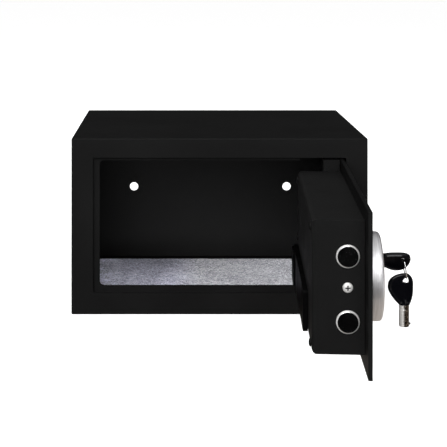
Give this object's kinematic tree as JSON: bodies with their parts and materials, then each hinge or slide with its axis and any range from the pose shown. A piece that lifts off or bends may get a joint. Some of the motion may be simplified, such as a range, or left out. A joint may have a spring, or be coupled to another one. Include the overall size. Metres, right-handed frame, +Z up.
{
  "type": "in-room safe",
  "caption": "Compact black steel in-room safe with its door open, chrome locking bolts, round keypad bezel, emergency key and grey floor mat.",
  "frame": {"origin": "centre of the underside of the body", "axes": "+X to the right seen from the front, +Y towards the back, +Z up; the door opening faces -Y and the hinge is on +X"},
  "size_m": [0.3484, 0.5141, 0.202],
  "materials": {
    "powder_coat": "fine matt powder coat",
    "felt": "speckled grey felt",
    "zinc_steel": "zinc plated",
    "chrome": "polished chrome plate",
    "black_plastic": "matt moulded",
    "brushed_ring": "turned and brushed",
    "button_plastic": "satin moulded",
    "display_gloss": "smoked window",
    "key_plastic": "gloss moulded grip, plated barrel",
    "circuit_board": "solder mask",
    "wire_jacket": "PVC sleeve",
    "cell_wrap": "printed sleeve without text",
    "gear_nylon": "natural nylon",
    "reset_plastic": "moulded"
  },
  "bodies": {
    "safe_body": {"body_shell": "powder_coat", "door_stop_frame": "powder_coat", "back_panel": "powder_coat", "hinge_bracket_top": "powder_coat", "hinge_bracket_bottom": "powder_coat", "hinge_pin_top": "zinc_steel", "hinge_pin_bottom": "zinc_steel", "floor_mat": "felt"},
    "door": {"door_plate": "powder_coat", "hinge_channel": "powder_coat", "lock_box_cover": "powder_coat", "cover_screw_1": "powder_coat", "cover_screw_2": "powder_coat", "cover_screw_3": "powder_coat", "cover_screw_4": "powder_coat", "cover_side_screw": "chrome", "bolt_bush_top": "black_plastic", "bolt_bush_bottom": "black_plastic", "guide_stud_1": "zinc_steel", "guide_stud_2": "zinc_steel", "gearmotor": "zinc_steel", "motor_bracket": "zinc_steel", "control_board": "circuit_board", "wire_harness": "wire_jacket", "battery_tray": "black_plastic", "battery_cell_1": "cell_wrap", "battery_cell_2": "cell_wrap", "battery_cell_3": "cell_wrap", "battery_cell_4": "cell_wrap", "battery_cell_5": "cell_wrap", "battery_cell_6": "cell_wrap", "bezel_ring": "brushed_ring", "keypad_plate": "black_plastic", "display_window": "display_gloss", "cam_lock_body": "chrome", "lock_nut": "zinc_steel"},
    "bolt_work": {"locking_bolt_top": "chrome", "locking_bolt_bottom": "chrome", "bolt_carriage": "zinc_steel"},
    "pinion": {"drive_pinion": "gear_nylon"},
    "plug": {"lock_plug": "chrome", "lock_cam": "zinc_steel"},
    "key": {"key_in_lock": "key_plastic"},
    "ring": {"key_ring": "chrome"},
    "second_key": {"spare_key": "key_plastic"},
    "battery_lid": {"battery_cover": "black_plastic"},
    "reset": {"reset_button": "reset_plastic"},
    "key_1": {"button_1": "button_plastic"},
    "key_2": {"button_2": "button_plastic"},
    "key_3": {"button_3": "button_plastic"},
    "key_4": {"button_4": "button_plastic"},
    "key_5": {"button_5": "button_plastic"},
    "key_6": {"button_6": "button_plastic"},
    "key_7": {"button_7": "button_plastic"},
    "key_8": {"button_8": "button_plastic"},
    "key_9": {"button_9": "button_plastic"},
    "key_10": {"button_10": "button_plastic"},
    "key_11": {"button_11": "button_plastic"},
    "key_12": {"button_12": "button_plastic"}
  },
  "joints": [
    {"name": "door_hinge", "type": "hinge", "parent": "safe_body", "child": "door", "pos_m": [0.134, -0.1135, 0.102], "axis": [0, 0, 1], "range_deg": [-86.7, 8.3]},
    {"name": "bolt_slide", "type": "slide", "parent": "door", "child": "bolt_work", "axis": [-0.0576, -0.9983, 0], "range_m": [0, 0.02]},
    {"name": "pinion_turn", "type": "hinge", "parent": "door", "child": "pinion", "pos_m": [0.11531, -0.24665, 0.13071], "axis": [-0.9983, 0.0576, 0], "range_deg": [0, 131]},
    {"name": "key_turn", "type": "hinge", "parent": "door", "child": "plug", "pos_m": [0.1309, -0.32367, 0.118], "axis": [-0.9983, 0.0576, 0], "range_deg": [-90, 0]},
    {"name": "key_withdraw", "type": "slide", "parent": "plug", "child": "key", "axis": [0.9983, -0.0576, 0], "range_m": [0, 0.025]},
    {"name": "key_ring_swing", "type": "hinge", "parent": "key", "child": "ring", "pos_m": [0.16837, -0.32699, 0.11858], "axis": [0, 0.8387, 0.5446], "range_deg": [-20, 15]},
    {"name": "spare_key_swing", "type": "hinge", "parent": "ring", "child": "second_key", "pos_m": [0.17147, -0.3213, 0.09893], "axis": [0.0859, 0.9963, 0], "range_deg": [-30, 10]},
    {"name": "battery_cover_lift", "type": "slide", "parent": "door", "child": "battery_lid", "axis": [-0.9983, 0.0576, 0], "range_m": [0, 0.03]},
    {"name": "reset_press", "type": "slide", "parent": "door", "child": "reset", "axis": [0.9983, -0.0576, 0], "range_m": [0, 0.0012], "stiffness_N_per_m": 300},
    {"name": "button_1_press", "type": "slide", "parent": "door", "child": "key_1", "axis": [-0.9983, 0.0576, 0], "range_m": [0, 0.0008], "stiffness_N_per_m": 300},
    {"name": "button_2_press", "type": "slide", "parent": "door", "child": "key_2", "axis": [-0.9983, 0.0576, 0], "range_m": [0, 0.0008], "stiffness_N_per_m": 300},
    {"name": "button_3_press", "type": "slide", "parent": "door", "child": "key_3", "axis": [-0.9983, 0.0576, 0], "range_m": [0, 0.0008], "stiffness_N_per_m": 300},
    {"name": "button_4_press", "type": "slide", "parent": "door", "child": "key_4", "axis": [-0.9983, 0.0576, 0], "range_m": [0, 0.0008], "stiffness_N_per_m": 300},
    {"name": "button_5_press", "type": "slide", "parent": "door", "child": "key_5", "axis": [-0.9983, 0.0576, 0], "range_m": [0, 0.0008], "stiffness_N_per_m": 300},
    {"name": "button_6_press", "type": "slide", "parent": "door", "child": "key_6", "axis": [-0.9983, 0.0576, 0], "range_m": [0, 0.0008], "stiffness_N_per_m": 300},
    {"name": "button_7_press", "type": "slide", "parent": "door", "child": "key_7", "axis": [-0.9983, 0.0576, 0], "range_m": [0, 0.0008], "stiffness_N_per_m": 300},
    {"name": "button_8_press", "type": "slide", "parent": "door", "child": "key_8", "axis": [-0.9983, 0.0576, 0], "range_m": [0, 0.0008], "stiffness_N_per_m": 300},
    {"name": "button_9_press", "type": "slide", "parent": "door", "child": "key_9", "axis": [-0.9983, 0.0576, 0], "range_m": [0, 0.0008], "stiffness_N_per_m": 300},
    {"name": "button_10_press", "type": "slide", "parent": "door", "child": "key_10", "axis": [-0.9983, 0.0576, 0], "range_m": [0, 0.0008], "stiffness_N_per_m": 300},
    {"name": "button_11_press", "type": "slide", "parent": "door", "child": "key_11", "axis": [-0.9983, 0.0576, 0], "range_m": [0, 0.0008], "stiffness_N_per_m": 300},
    {"name": "button_12_press", "type": "slide", "parent": "door", "child": "key_12", "axis": [-0.9983, 0.0576, 0], "range_m": [0, 0.0008], "stiffness_N_per_m": 300}
  ],
  "couplings": [
    {"joint": "pinion_turn", "follows": "bolt_slide", "rad_per_m": 114.29}
  ]
}
